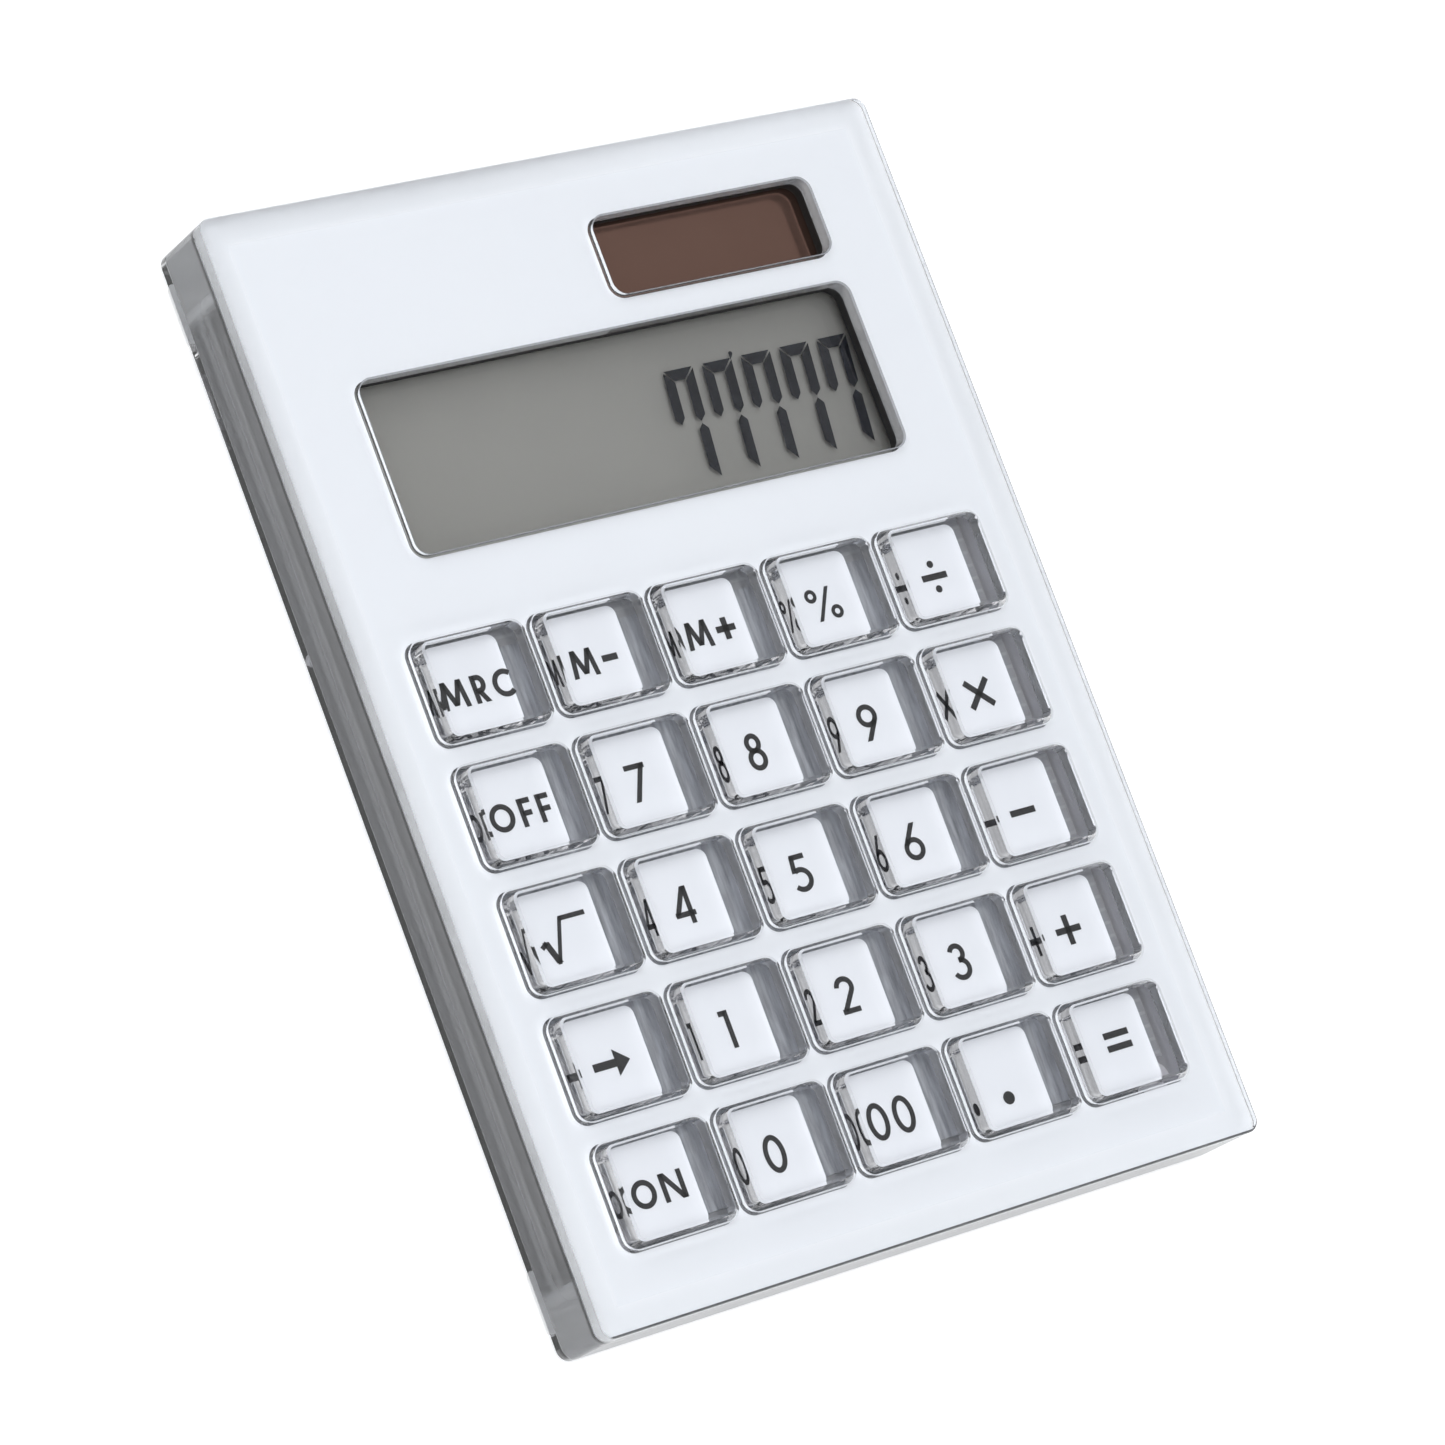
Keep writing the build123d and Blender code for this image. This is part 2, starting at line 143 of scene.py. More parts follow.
# What stands on each key, in the characters of SIGNS
LEGENDS = {
    "key_mrc": "MRC",
    "key_m_minus": "M-",
    "key_m_plus": "M+",
    "key_percent": "%",
    "key_divide": "/",
    "key_off": "OFF",
    "key_7": "7",
    "key_8": "8",
    "key_9": "9",
    "key_multiply": "*",
    "key_root": "r",
    "key_4": "4",
    "key_5": "5",
    "key_6": "6",
    "key_minus": "_",
    "key_arrow": ">",
    "key_1": "1",
    "key_2": "2",
    "key_3": "3",
    "key_plus": "&",
    "key_on": "ON",
    "key_0": "0",
    "key_00": "00",
    "key_point": ".",
    "key_equals": "=",
}

# How far single legends stand off the common place, in millimetres
LEGEND_MOVES = {
    "key_mrc": (0.5, 0.0),
    "key_off": (0.2, 0.0),
    "key_4": (-0.35, 0.0),
    "key_6": (-0.3, 0.0),
    "key_minus": (-0.3, 0.0),
    "key_1": (-0.5, 0.0),
    "key_plus": (-0.25, 0.0),
    "key_0": (-0.4, 0.0),
    "key_00": (-0.35, 0.0),
    "key_point": (-0.4, -2.3),
    "key_equals": (1.0, 1.1),
}

# Figures on the display, in millimetres; slant and point are ratios
figure_count = 5
figure_left = 8.15
figure_pitch = 7.2
figure_width = 5.5
figure_low = 32.45
figure_high = 49.95
figure_slant = 0.11
segment_width = 1.75
segment_gap = 0.16
segment_point = 0.55
tick_place = (22.95, 50.6)
tick_radius = 0.36
tick_tail = np.array([0.35, 1.0])
ink_rise = 0.01 * mm

# Soft light: the brighter side of the sky, its two levels, and the lamp above
light_side = (-0.62, 0.18, 0.76)
sky_dim = 0.42
sky_bright = 1.12
sky_turn = (-0.1, 0.9)
sky_low = (0.1, 0.55)
sky_tint = (0.97, 0.985, 1.0, 1)
lamp_place = (-0.4, 0.0, 1.4)
lamp_size = 1.4
lamp_power = 3.9

# White floor
floor_reach = 6.0
floor_drop = 0.2 * mm
floor_glow = 0.18
floor_glow_seen = 0.4


# Meshes


def put_mesh(name, blocks, body, material):
    """Joins blocks of points and faces into one piece that rides on a body."""
    points = np.vstack([block[0] for block in blocks])
    faces = []
    start = 0
    for block_points, block_faces in blocks:
        faces += [tuple(int(corner) + start for corner in face) for face in block_faces]
        start += len(block_points)
    mesh = bpy.data.meshes.new(name)
    mesh.from_pydata(points.tolist(), [], faces)
    mesh.update()
    mesh.materials.append(material)
    piece = bpy.data.objects.new(name, mesh)
    scene.collection.objects.link(piece)
    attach(piece, body)
    return piece


def rounded_outline(width, length, corner, at=(0.0, 0.0), steps=8):
    """Rectangle with quarter circles at its corners, counterclockwise from the right-hand side."""
    angles = np.linspace(0, math.pi / 2, steps)
    turns = np.arange(4) * math.pi / 2
    all_angles = (turns[:, None] + angles[None, :]).ravel()
    signs_x = np.repeat([1, -1, -1, 1], steps)
    signs_y = np.repeat([1, 1, -1, -1], steps)
    x = signs_x * (width / 2 - corner) + corner * np.cos(all_angles) + at[0]
    y = signs_y * (length / 2 - corner) + corner * np.sin(all_angles) + at[1]
    return np.stack([x, y], 1)


def slab(outline, low, high):
    """Closed block with an upright wall: the outline at two levels, a cap on each."""
    count = len(outline)
    index = np.arange(count)
    following = (index + 1) % count
    top = np.column_stack([outline, np.full(count, high)])
    bottom = np.column_stack([outline, np.full(count, low)])
    walls = np.stack([index + count, following + count, following, index], 1)
    faces = [index.tolist(), (index[::-1] + count).tolist()] + walls.tolist()
    return np.vstack([top, bottom]), faces


def turned(profile, at, steps=48):
    """Closed solid of revolution: each radius and height of the profile is a ring round an upright axis."""
    radii, heights = np.array(profile).T
    angles = np.arange(steps) * 2 * math.pi / steps
    x = at[0] + radii[:, None] * np.cos(angles)[None, :]
    y = at[1] + radii[:, None] * np.sin(angles)[None, :]
    z = np.repeat(heights[:, None], steps, 1)
    points = np.stack([x, y, z], 2).reshape(-1, 3)
    index = np.arange(steps)
    following = (index + 1) % steps
    faces = [index[::-1].tolist(), (index + (len(radii) - 1) * steps).tolist()]
    for level in range(len(radii) - 1):
        low, high = level * steps, (level + 1) * steps
        faces += np.stack([index + low, following + low, following + high, index + high], 1).tolist()
    return points, faces


def line(*points):
    """Path through the points given."""
    return np.array(points, float)


def arc(centre, radii, start, end, steps=28):
    """Points round an ellipse between two angles in degrees."""
    angles = np.radians(np.linspace(start, end, steps))
    return np.column_stack([centre[0] + radii[0] * np.cos(angles), centre[1] + radii[1] * np.sin(angles)])


def ring(centre, radii, steps=40):
    """Points once round an ellipse, without repeating the first."""
    angles = np.linspace(0, 2 * math.pi, steps, endpoint=False)
    return np.column_stack([centre[0] + radii[0] * np.cos(angles), centre[1] + radii[1] * np.sin(angles)])


def band_sides(points, width, closed=False, level_ends=False):
    """Both sides of a band: each point moves half the width along the mitred normal of its two runs."""
    ahead = np.roll(points, -1, axis=0) - points
    runs = ahead if closed else ahead[:-1]
    runs = runs / np.linalg.norm(runs, axis=1, keepdims=True)
    normals = np.column_stack([-runs[:, 1], runs[:, 0]])
    if closed:
        before, after = np.roll(normals, 1, axis=0), normals
    else:
        before, after = np.vstack([normals[:1], normals]), np.vstack([normals, normals[-1:]])
    overlap = (before * after).sum(axis=1, keepdims=True)
    moves = (before + after) / np.maximum(1 + overlap, 0.4)
    if level_ends and not closed:
        for end in (0, -1):
            axis = int(np.argmax(np.abs(normals[end])))
            moves[end] = 0
            moves[end, axis] = 1 / normals[end, axis]
    half = np.broadcast_to(np.asarray(width, float) / 2, (len(points),))[:, None]
    return points + half * moves, points - half * moves


def band(points, width, low, high, closed=False, level_ends=False):
    """Ink line with a rectangular section, carried along a flat path."""
    left, right = band_sides(points, width, closed, level_ends)
    count = len(points)
    corners = np.zeros((count, 4, 3))
    corners[:, 0, :2], corners[:, 0, 2] = left, high
    corners[:, 1, :2], corners[:, 1, 2] = right, high
    corners[:, 2, :2], corners[:, 2, 2] = right, low
    corners[:, 3, :2], corners[:, 3, 2] = left, low
    station = np.arange(count if closed else count - 1)
    ahead = (station + 1) % count
    side = np.arange(4)
    following = (side + 1) % 4
    faces = np.stack(
        [
            station[:, None] * 4 + side,
            station[:, None] * 4 + following,
            ahead[:, None] * 4 + following,
            ahead[:, None] * 4 + side,
        ],
        axis=-1,
    ).reshape(-1, 4)
    faces = faces.tolist()
    if not closed:
        last = (count - 1) * 4
        faces += [[3, 2, 1, 0], [last, last + 1, last + 2, last + 3]]
    return corners.reshape(-1, 3), faces


# Signs: lists of (path, width, closed, level ends), in millimetres, foot of the sign at zero


def straight(*points):
    return (line(*points), stroke_width, False, True)


def curved(points):
    return (points, stroke_width, False, False)


def looped(points):
    return (points, stroke_width, True, False)


def bar(left, right, height, width):
    return (line((left, height), (right, height)), width, False, True)


def dot(x, y, diameter):
    """Filled disc: a ring whose stroke is as wide as the disc's radius."""
    return (ring((x, y), (diameter / 4, diameter / 4), 24), diameter / 2, True, False)


def letter_m():
    top = letter_height
    foot = 0.42
    shoulder = 0.95
    width = 4.6
    return [
        straight((foot, 0), (shoulder, top)),
        straight((shoulder, top), (width / 2, 0.45)),
        straight((width / 2, 0.45), (width - shoulder, top)),
        straight((width - shoulder, top), (width - foot, 0)),
    ]


def letter_r():
    top = letter_height - half_stroke
    waist = 1.85
    bowl = np.vstack(
        [
            line((half_stroke, top)),
            arc((1.1, (top + waist) / 2), (0.85, (top - waist) / 2), 90, -90, 16),
            line((half_stroke, waist)),
        ]
    )
    return [
        straight((half_stroke, 0), (half_stroke, letter_height)),
        curved(bowl),
        straight((1.0, waist), (2.02, 0)),
    ]


def letter_c():
    return [curved(arc((2.05, letter_height / 2), (1.66, 1.72), 48, 312))]


def letter_o():
    return [looped(ring((2.05, letter_height / 2), (1.66, 1.72)))]


def letter_f():
    top = letter_height - half_stroke
    return [
        straight((half_stroke, 0), (half_stroke, letter_height)),
        bar(half_stroke, 2.15, top, stroke_width),
        bar(half_stroke, 2.0, 2.0, stroke_width),
    ]


def letter_n():
    return [
        straight((half_stroke, 0), (half_stroke, letter_height)),
        straight((half_stroke + 0.1, letter_height), (3.4, 0)),
        straight((3.5, 0), (3.5, letter_height)),
    ]


def plus(size, height):
    middle = height / 2
    return [
        bar(0, size, middle, sign_stroke),
        (line((size / 2, middle - size / 2), (size / 2, middle + size / 2)), sign_stroke, False, True),
    ]


def percent():
    thin = 0.6
    return [
        (ring((1.0, 4.1), (0.76, 0.76), 28), thin, True, False),
        (ring((4.75, 1.05), (0.76, 0.76), 28), thin, True, False),
        (line((1.45, 0.0), (4.3, 5.15)), thin, False, True),
    ]


def divide():
    middle = sign_width / 2
    dot_size = 1.15
    return [bar(0, sign_width, 2.5, sign_stroke), dot(middle, 4.5, dot_size), dot(middle, 0.5, dot_size)]


def multiply():
    reach = 4.2
    thick = 0.98
    return [
        (line((0, 0), (reach, reach)), thick, False, False),
        (line((0, reach), (reach, 0)), thick, False, False),
    ]


def root():
    return [
        (line((0.1, 2.75), (1.1, 3.45)), 0.72, False, False),
        (line((0.95, 3.55), (2.2, 0.2)), 1.0, False, True),
        (line((2.1, 0.0), (4.55, 6.6)), 0.62, False, True),
        bar(4.3, 8.8, 6.4, 0.72),
    ]


def arrow():
    head = line((3.85, 2.0), (6.3, 2.0))
    return [bar(0, 3.9, 2.0, 1.2), (head, np.array([4.0, 0.05]), False, False)]


def seven():
    return [
        bar(0.0, 3.5, digit_height - half_stroke, stroke_width),
        straight((3.12, digit_height - 0.1), (0.62, 0)),
    ]


def eight():
    return [
        looped(ring((1.6, 4.2), (1.0, 1.14))),
        looped(ring((1.6, 1.7), (1.22, 1.34))),
    ]


def nine():
    return [
        looped(ring((1.78, 3.83), (1.4, 1.4))),
        straight((2.98, 3.1), (0.85, 0)),
    ]


def six():
    return [
        looped(ring((1.78, 1.77), (1.4, 1.4))),
        straight((0.58, 2.5), (2.7, digit_height)),
    ]


def five():
    bowl = arc((1.45, 1.85), (1.55, 1.5), 118, -142)
    return [
        bar(0.55, 3.05, digit_height - half_stroke, stroke_width),
        straight((0.85, digit_height - 0.2), (0.55, 2.95)),
        curved(bowl),
    ]


def four():
    return [
        straight((2.75, 0), (2.75, digit_height)),
        straight((2.65, digit_height), (0.42, 1.55)),
        bar(0.05, 3.55, 1.55, stroke_width),
    ]


def three():
    return [
        curved(arc((1.5, 4.12), (1.1, 1.12), 160, -90)),
        curved(arc((1.5, 1.72), (1.4, 1.36), 90, -155)),
    ]


def two():
    crown = arc((1.65, 4.0), (1.28, 1.24), 175, -32)
    return [
        curved(np.vstack([crown, line((0.55, 0.5))])),
        bar(0.05, 3.2, half_stroke, stroke_width),
    ]


def one():
    return [
        straight((1.3, 0), (1.3, digit_height)),
        bar(0.1, 1.3, digit_height - half_stroke, stroke_width),
    ]


def nought():
    return [looped(ring((1.78, digit_height / 2), (1.42, digit_height / 2 - half_stroke)))]


SIGNS = {
    "M": letter_m,
    "R": letter_r,
    "C": letter_c,
    "O": letter_o,
    "F": letter_f,
    "N": letter_n,
    "-": lambda: [bar(0, 2.7, 2.05, sign_stroke)],
    "+": lambda: plus(3.4, letter_height),
    "&": lambda: plus(sign_width, sign_width),
    "_": lambda: [bar(0, sign_width, 0.5, sign_stroke)],
    "=": lambda: [bar(0, sign_width, 0, sign_stroke), bar(0, sign_width, 2.0, sign_stroke)],
    ".": lambda: [dot(0, 0, 2.0)],
    "%": percent,
    "/": divide,
    "*": multiply,
    "r": root,
    ">": arrow,
    "0": nought,
    "1": one,
    "2": two,
    "3": three,
    "4": four,
    "5": five,
    "6": six,
    "7": seven,
    "8": eight,
    "9": nine,
}


def spread_of(strokes):
    """Points along both sides of every stroke."""
    return np.vstack([np.vstack(band_sides(*stroke)) for stroke in strokes])


def legend_bands(text):
    """Sets the signs side by side and centres the whole on zero."""
    placed = []
    pen = 0.0
    for sign in text:
        strokes = SIGNS[sign]()
        spread = spread_of(strokes)
        shift = pen - spread[:, 0].min()
        placed += [(points + (shift, 0), width, closed, ends) for points, width, closed, ends in strokes]
        pen += np.ptp(spread[:, 0]) + letter_gap
    spread = spread_of(placed)
    middle = (spread.min(axis=0) + spread.max(axis=0)) / 2
    return [(points - middle, width, closed, ends) for points, width, closed, ends in placed]


# Shader parts shared by the materials


def add_node(tree, kind, **inputs):
    """New node with set inputs; an underscore stands for the space in an input's name."""
    node = tree.nodes.new(kind)
    for name, value in inputs.items():
        node.inputs[name.replace("_", " ")].default_value = value
    return node


def new_group(name, inputs, outputs):
    """Node group with named sockets, its input and output nodes in place."""
    group = bpy.data.node_groups.new(name, "ShaderNodeTree")
    for title, kind, value in inputs:
        socket = group.interface.new_socket(title, in_out="INPUT", socket_type=kind)
        if value is not None:
            socket.default_value = value
    for title, kind in outputs:
        group.interface.new_socket(title, in_out="OUTPUT", socket_type=kind)
    return group, group.nodes.new("NodeGroupInput"), group.nodes.new("NodeGroupOutput")


def make_mottle_group():
    """Cloudy change between two colours, with the cloud as a mask."""
    group, given, result = new_group(
        "mottle",
        [
            ("Vector", "NodeSocketVector", None),
            ("Scale", "NodeSocketFloat", 100.0),
            ("Dark", "NodeSocketColor", (0.4, 0.4, 0.4, 1)),
            ("Light", "NodeSocketColor", (0.6, 0.6, 0.6, 1)),
        ],
        [("Color", "NodeSocketColor"), ("Mask", "NodeSocketFloat")],
    )
    cloud = add_node(group, "ShaderNodeTexNoise", Detail=4.0, Roughness=0.55)
    mix = group.nodes.new("ShaderNodeMix")
    mix.data_type = "RGBA"
    link = group.links.new
    link(given.outputs["Vector"], cloud.inputs["Vector"])
    link(given.outputs["Scale"], cloud.inputs["Scale"])
    link(cloud.outputs["Fac"], mix.inputs["Factor"])
    link(given.outputs["Dark"], mix.inputs["A"])
    link(given.outputs["Light"], mix.inputs["B"])
    link(mix.outputs["Result"], result.inputs["Color"])
    link(cloud.outputs["Fac"], result.inputs["Mask"])
    return group


def make_scratch_group():
    """Sparse hairlines: long thin noise, cut to its crests, thinned out by a second cloud."""
    group, given, result = new_group(
        "hairline_scratches",
        [("Vector", "NodeSocketVector", None), ("Angle", "NodeSocketFloat", 0.6)],
        [("Mask", "NodeSocketFloat")],
    )
    turn = group.nodes.new("ShaderNodeVectorRotate")
    turn.rotation_type = "Z_AXIS"
    stretch = group.nodes.new("ShaderNodeVectorMath")
    stretch.operation = "MULTIPLY"
    stretch.inputs[1].default_value = (40.0, 2600.0, 400.0)
    lines = add_node(group, "ShaderNodeTexNoise", Scale=1.0, Detail=1.0)
    crest = add_node(group, "ShaderNodeMapRange", From_Min=0.70, From_Max=0.78)
    cloud = add_node(group, "ShaderNodeTexNoise", Scale=90.0, Detail=1.0)
    patch = add_node(group, "ShaderNodeMapRange", From_Min=0.52, From_Max=0.66)
    both = group.nodes.new("ShaderNodeMath")
    both.operation = "MULTIPLY"
    link = group.links.new
    link(given.outputs["Vector"], turn.inputs["Vector"])
    link(given.outputs["Angle"], turn.inputs["Angle"])
    link(turn.outputs["Vector"], stretch.inputs[0])
    link(stretch.outputs["Vector"], lines.inputs["Vector"])
    link(lines.outputs["Fac"], crest.inputs["Value"])
    link(given.outputs["Vector"], cloud.inputs["Vector"])
    link(cloud.outputs["Fac"], patch.inputs["Value"])
    link(crest.outputs["Result"], both.inputs[0])
    link(patch.outputs["Result"], both.inputs[1])
    link(both.outputs["Value"], result.inputs["Mask"])
    return group


def make_grain_group():
    """Fine moulded texture: small cells over a soft swell."""
    group, given, result = new_group(
        "moulded_grain",
        [("Vector", "NodeSocketVector", None), ("Scale", "NodeSocketFloat", 2500.0)],
        [("Height", "NodeSocketFloat")],
    )
    cells = add_node(group, "ShaderNodeTexVoronoi")
    swell = add_node(group, "ShaderNodeTexNoise", Detail=2.0)
    total = group.nodes.new("ShaderNodeMath")
    link = group.links.new
    link(given.outputs["Vector"], cells.inputs["Vector"])
    link(given.outputs["Scale"], cells.inputs["Scale"])
    link(given.outputs["Vector"], swell.inputs["Vector"])
    link(given.outputs["Scale"], swell.inputs["Scale"])
    link(cells.outputs["Distance"], total.inputs[0])
    link(swell.outputs["Fac"], total.inputs[1])
    link(total.outputs["Value"], result.inputs["Height"])
    return group


mottle_group = make_mottle_group()
scratch_group = make_scratch_group()
grain_group = make_grain_group()


def place_group(tree, group, **inputs):
    """Puts a node group into a tree and sets its inputs."""
    node = tree.nodes.new("ShaderNodeGroup")
    node.node_tree = group
    for name, value in inputs.items():
        node.inputs[name].default_value = value
    return node


def start_material(name):
    """Material with a Principled shader, its output and Object coordinates."""
    material = bpy.data.materials.new(name)
    material.use_nodes = True
    tree = material.node_tree
    tree.nodes.clear()
    output = tree.nodes.new("ShaderNodeOutputMaterial")
    shader = tree.nodes.new("ShaderNodeBsdfPrincipled")
    place = tree.nodes.new("ShaderNodeTexCoord")
    tree.links.new(shader.outputs["BSDF"], output.inputs["Surface"])
    return material, tree, shader, place.outputs["Object"]


def spread_value(tree, source, low, high):
    """Maps a mask to a range of values."""
    spread = add_node(tree, "ShaderNodeMapRange", To_Min=low, To_Max=high)
    tree.links.new(source, spread.inputs["Value"])
    return spread.outputs["Result"]


def add_bump(tree, shader, height, strength, distance):
    """Lets a height tilt the shader's normal."""
    bump = add_node(tree, "ShaderNodeBump", Strength=strength, Distance=distance)
    tree.links.new(height, bump.inputs["Height"])
    tree.links.new(bump.outputs["Normal"], shader.inputs["Normal"])


def grey(value, blue=0.0):
    """Grey colour, a little bluer where asked."""
    return (value, value, value + blue, 1)


def solid_finish(
    name, dark, light, cloud_scale, rough, grain_scale=None, grain_strength=0.1, metal=0.0, draw=1.0
):
    """Opaque finish: cloudy colour, drawn out along the body where draw is over 1, roughness from the same
    cloud, and a fine grain."""
    material, tree, shader, place = start_material(name)
    cloud = place_group(tree, mottle_group, Scale=cloud_scale, Dark=dark, Light=light)
    link = tree.links.new
    narrow = tree.nodes.new("ShaderNodeVectorMath")
    narrow.operation = "MULTIPLY"
    narrow.inputs[1].default_value = (draw, 1.0, 1.0)
    link(place, narrow.inputs[0])
    link(narrow.outputs["Vector"], cloud.inputs["Vector"])
    link(cloud.outputs["Color"], shader.inputs["Base Color"])
    link(spread_value(tree, cloud.outputs["Mask"], rough[0], rough[1]), shader.inputs["Roughness"])
    shader.inputs["Metallic"].default_value = metal
    if grain_scale:
        grain = place_group(tree, grain_group, Scale=grain_scale)
        link(place, grain.inputs["Vector"])
        add_bump(tree, shader, grain.outputs["Height"], grain_strength, grain_depth)
    return material


def math_node(tree, operation, first, second=None):
    """One sum on a socket and a number or a second socket."""
    node = tree.nodes.new("ShaderNodeMath")
    node.operation = operation
    tree.links.new(first, node.inputs[0])
    if isinstance(second, float):
        node.inputs[1].default_value = second
    elif second is not None:
        tree.links.new(second, node.inputs[1])
    return node.outputs["Value"]


def mix_colours(tree, factor, first, second):
    """Mixes two colours, each a socket or a fixed value."""
    mix = tree.nodes.new("ShaderNodeMix")
    mix.data_type = "RGBA"
    tree.links.new(factor, mix.inputs["Factor"])
    for title, colour in (("A", first), ("B", second)):
        if isinstance(colour, tuple):
            mix.inputs[title].default_value = colour
        else:
            tree.links.new(colour, mix.inputs[title])
    return mix.outputs["Result"]


def split_vector(tree, vector):
    """The three parts of a place or a direction, by the names of their axes."""
    split = tree.nodes.new("ShaderNodeSeparateXYZ")
    tree.links.new(vector, split.inputs["Vector"])
    return split.outputs


def split_normal(tree):
    """The three parts of the direction that a face looks in."""
    return split_vector(tree, tree.nodes.new("ShaderNodeNewGeometry").outputs["Normal"])


def wall_mask(tree):
    """One on upright faces, nought on level ones, between them on bevels."""
    mask = add_node(tree, "ShaderNodeMapRange", From_Min=wall_least_tilt, From_Max=wall_full_tilt)
    tree.links.new(math_node(tree, "ABSOLUTE", split_normal(tree)["Z"]), mask.inputs["Value"])
    return mask.outputs["Result"]


def inner_mask(tree, place, margin):
    """One inside the body's outline, nought within a margin of its outer sides."""
    split = split_vector(tree, place)
    sides = []
    for axis, half in (("X", plate_half_width), ("Y", plate_half_length)):
        size = math_node(tree, "ABSOLUTE", split[axis])
        sides.append(math_node(tree, "LESS_THAN", size, half - margin))
    return math_node(tree, "MULTIPLY", sides[0], sides[1])


def darken(tree, colour, mask, shade):
    """Multiplies a colour by a shade where a mask is one."""
    factor = mix_colours(tree, mask, (1.0, 1.0, 1.0, 1), shade)
    blend = tree.nodes.new("ShaderNodeVectorMath")
    blend.operation = "MULTIPLY"
    tree.links.new(colour, blend.inputs[0])
    tree.links.new(factor, blend.inputs[1])
    return blend.outputs["Vector"]


def paint_shade_on_cuts(tree, place, colour):
    """Painted shade: greys the walls and bevels of a plate's two windows, and darkens its outer bevels to the
    right and near end.
    """
    tilt = split_normal(tree)
    bevel = math_node(tree, "COMPARE", math_node(tree, "ABSOLUTE", tilt["Z"]), bevel_tilt)
    bevel.node.inputs[2].default_value = bevel_spread
    inside = inner_mask(tree, place, wall_reach)
    beyond = math_node(tree, "GREATER_THAN", split_vector(tree, place)["Y"], window_start)
    sunk = math_node(tree, "MULTIPLY", beyond, inside)
    window_wall_shade = math_node(tree, "MULTIPLY", wall_mask(tree), sunk)
    window_bevel_shade = math_node(tree, "MULTIPLY", bevel, sunk)
    shaded_side_lean = math_node(tree, "SUBTRACT", tilt["X"], tilt["Y"])
    on_shaded_side = math_node(tree, "GREATER_THAN", shaded_side_lean, shaded_bevel_lean)
    outside = math_node(tree, "MAXIMUM", math_node(tree, "SUBTRACT", bevel, inside), 0.0)
    outer_bevel_shade = math_node(tree, "MULTIPLY", outside, on_shaded_side)
    # Painted shade on the window walls, the window bevels and the right and near outer bevels
    colour = darken(tree, colour, window_wall_shade, grey(0.12, 0.003))
    colour = darken(tree, colour, window_bevel_shade, grey(0.45, 0.01))
    return darken(tree, colour, outer_bevel_shade, grey(0.02))


def margin_mask(tree, place):
    """One along the body's outline, fading to nought over the margin."""
    split = split_vector(tree, place)
    sides = []
    for axis, half in (("X", plate_half_width), ("Y", plate_half_length)):
        fade = add_node(tree, "ShaderNodeMapRange", From_Min=half - matt_and_painted_light_width, From_Max=half - matt_and_painted_light_full)
        fade.interpolation_type = "SMOOTHSTEP"
        tree.links.new(math_node(tree, "ABSOLUTE", split[axis]), fade.inputs["Value"])
        sides.append(fade.outputs["Result"])
    return math_node(tree, "MAXIMUM", sides[0], sides[1])


def matt_margin(tree, place):
    """Roughness of a plate's underside: matt along its margin, where the print shows through the edge."""
    under = math_node(tree, "LESS_THAN", split_vector(tree, place)["Z"], plate_underside)
    margin = math_node(tree, "MULTIPLY", under, margin_mask(tree, place))
    return math_node(tree, "MULTIPLY", margin, matt_rough)


def darken_seam(tree, place, outer_wall, colour):
    """Darkens the top of the outer walls, along the joint with the plate."""
    fade = add_node(tree, "ShaderNodeMapRange", From_Min=seam_low, From_Max=seam_full)
    tree.links.new(split_vector(tree, place)["Z"], fade.inputs["Value"])
    mask = math_node(tree, "MULTIPLY", fade.outputs["Result"], outer_wall)
    return mix_colours(tree, mask, colour, grey(0.03))


def clear_finish(name, level, outer, inner, rough, streak, angle, cut_shade_and_matt=False, seam=False):
    """Clear acrylic: level faces with hairlines, polished outer walls, inner walls with the cutter's streaked
    marks.

    level and inner are pairs of colours, rough holds the roughness of a hairline, an outer wall and an
    inner wall, streak stretches the cutter's marks, cut_shade_and_matt asks for the painted shade on the
    bevels and window walls and the matt margin of the face plate, and seam for the dark joint under it. The
    grey tint of the case's outer walls and of the keys' walls is painted shade."""
    material, tree, shader, place = start_material(name)
    shader.inputs["Transmission Weight"].default_value = 1.0
    shader.inputs["IOR"].default_value = acrylic_ior
    link = tree.links.new
    cloud = place_group(tree, mottle_group, Scale=45.0, Dark=level[0], Light=level[1])
    link(place, cloud.inputs["Vector"])
    stretch = tree.nodes.new("ShaderNodeVectorMath")
    stretch.operation = "MULTIPLY"
    stretch.inputs[1].default_value = streak
    link(place, stretch.inputs[0])
    # Inner walls: streaked cutter marks; on the keys their grey is partly painted shade
    marks = place_group(tree, mottle_group, Scale=1.0, Dark=inner[0], Light=inner[1])
    link(stretch.outputs["Vector"], marks.inputs["Vector"])
    upright = wall_mask(tree)
    inside = inner_mask(tree, place, wall_reach)
    wall = mix_colours(tree, inside, outer, marks.outputs["Color"])
    colour = mix_colours(tree, upright, cloud.outputs["Color"], wall)
    if cut_shade_and_matt:
        colour = paint_shade_on_cuts(tree, place, colour)
    if seam:
        outer_wall = math_node(tree, "GREATER_THAN", math_node(tree, "SUBTRACT", upright, inside), 0.5)
        colour = darken_seam(tree, place, outer_wall, colour)
    link(colour, shader.inputs["Base Color"])
    scratches = place_group(tree, scratch_group, Angle=angle)
    link(place, scratches.inputs["Vector"])
    wall_rough = math_node(tree, "MULTIPLY", upright, spread_value(tree, inside, rough[1], rough[2]))
    hairline_rough = math_node(tree, "MULTIPLY", scratches.outputs["Mask"], rough[0])
    roughness = math_node(tree, "MAXIMUM", wall_rough, hairline_rough)
    if cut_shade_and_matt:
        roughness = math_node(tree, "MAXIMUM", roughness, matt_margin(tree, place))
    link(roughness, shader.inputs["Roughness"])
    add_bump(tree, shader, scratches.outputs["Mask"], 0.25, scratch_depth)
    return material


